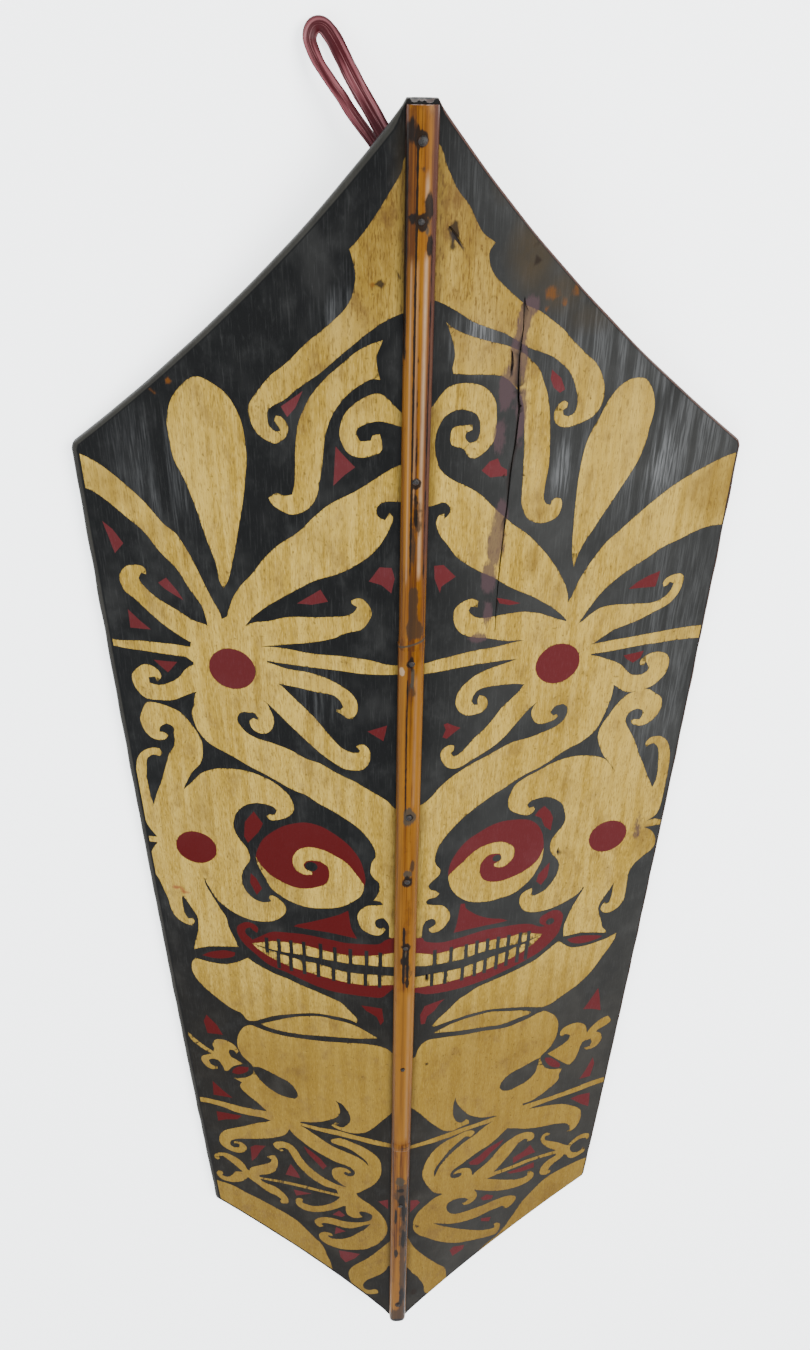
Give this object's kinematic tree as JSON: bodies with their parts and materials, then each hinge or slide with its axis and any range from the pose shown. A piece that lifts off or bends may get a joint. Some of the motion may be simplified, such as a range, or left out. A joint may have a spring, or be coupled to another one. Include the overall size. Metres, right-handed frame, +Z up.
{
  "type": "painted wooden dance shield",
  "caption": "Long six-cornered wooden dance shield with a V section, painted face, nailed bamboo ridge strip, carved grip and ribbon hanging loop, lying face up.",
  "frame": {"origin": "middle of the shield's box, on the surface that it lies on", "axes": "+Y along the ridge towards the top end, where the ribbon is, +Z up out of the painted face, +X to the right of the painted face seen with its top end up"},
  "size_m": [0.3946, 1.1341, 0.0541],
  "materials": {
    "painted_board": "matt black paint over bare light wood, with dark red accents, worn",
    "bamboo": "smooth glossy cane, orange brown, soot marked",
    "iron": "dull dark iron",
    "ribbon": "thin crinkled ribbon, slightly see-through"
  },
  "bodies": {
    "root": {"shield_board": "painted_board", "carved_grip": "painted_board", "bamboo_ridge_strip": "bamboo", "ridge_nail_1": "iron", "ridge_nail_2": "iron", "ridge_nail_3": "iron", "ridge_nail_4": "iron", "ridge_nail_5": "iron", "ridge_nail_6": "iron", "ridge_nail_7": "iron", "ridge_nail_8": "iron", "ridge_nail_9": "iron", "ridge_nail_10": "iron", "hanging_ribbon": "ribbon"}
  },
  "joints": []
}
